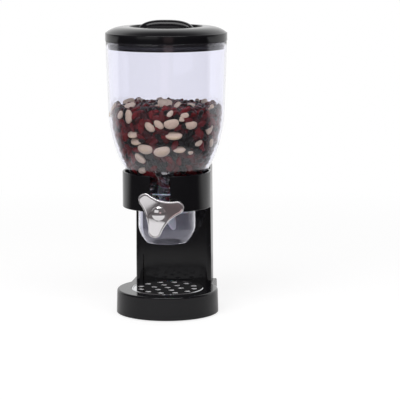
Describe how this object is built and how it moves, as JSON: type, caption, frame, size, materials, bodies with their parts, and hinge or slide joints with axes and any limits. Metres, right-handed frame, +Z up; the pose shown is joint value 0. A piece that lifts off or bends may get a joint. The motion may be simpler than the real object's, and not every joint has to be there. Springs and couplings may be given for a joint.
{
  "type": "gravity bulk food bin",
  "caption": "Gravity bulk food bin: clear hopper with paddle wheel and turning knob, in a slotted collar on a column with a drip plate base.",
  "frame": {"origin": "on the hopper's axis at the level of the table, which is the middle of the bottom of the bounding box", "axes": "+Z up along the hopper's axis, -Y towards the serving side with the knob, +X to the right seen from the front"},
  "size_m": [0.1728, 0.1728, 0.42],
  "materials": {
    "black_abs": "polished black ABS moulding",
    "matt_black": "fine-textured black ABS",
    "clear_san": "clear SAN moulding",
    "clear_silicone": "milky translucent silicone",
    "white_acetal": "natural white acetal",
    "chrome": "bright chrome plating",
    "polished_steel": "mirror-polished stainless steel",
    "screw_steel": "zinc-plated steel",
    "foot_rubber": "soft black rubber",
    "seal_rubber": "dark food-grade silicone"
  },
  "bodies": {
    "stand": {"base_shell": "black_abs", "bottom_cover": "matt_black", "bottom_screws": "screw_steel", "foot_front_left": "foot_rubber", "foot_front_right": "foot_rubber", "foot_back_left": "foot_rubber", "foot_back_right": "foot_rubber", "column_shell": "black_abs", "back_cover": "matt_black", "back_screws": "screw_steel", "column_screws": "screw_steel", "collar": "black_abs", "collar_screws": "screw_steel"},
    "plate": {"drip_plate": "polished_steel"},
    "hopper": {"canister": "clear_san", "neck_seal": "seal_rubber", "dispensing_chamber": "clear_san", "front_bush": "white_acetal", "back_bush": "white_acetal"},
    "rotor": {"axle": "screw_steel", "axle_clip": "screw_steel", "wheel_core": "white_acetal", "paddle_wheel": "clear_silicone", "knob": "chrome", "knob_screw": "screw_steel", "knob_cap": "chrome"},
    "lid": {"lid_top": "black_abs", "lid_plug": "matt_black", "lid_seal": "seal_rubber"}
  },
  "joints": [
    {"name": "plate_lift", "type": "slide", "parent": "stand", "child": "plate", "axis": [0, 0, 1], "range_m": [0, 0.03]},
    {"name": "hopper_lift", "type": "slide", "parent": "stand", "child": "hopper", "axis": [0, 0, 1], "range_m": [0, 0.11]},
    {"name": "knob_turn", "type": "hinge", "parent": "hopper", "child": "rotor", "pos_m": [0, 0, 0.155], "axis": [0, -1, 0], "continuous": true},
    {"name": "lid_lift", "type": "slide", "parent": "hopper", "child": "lid", "axis": [0, 0, 1], "range_m": [0, 0.06]}
  ]
}
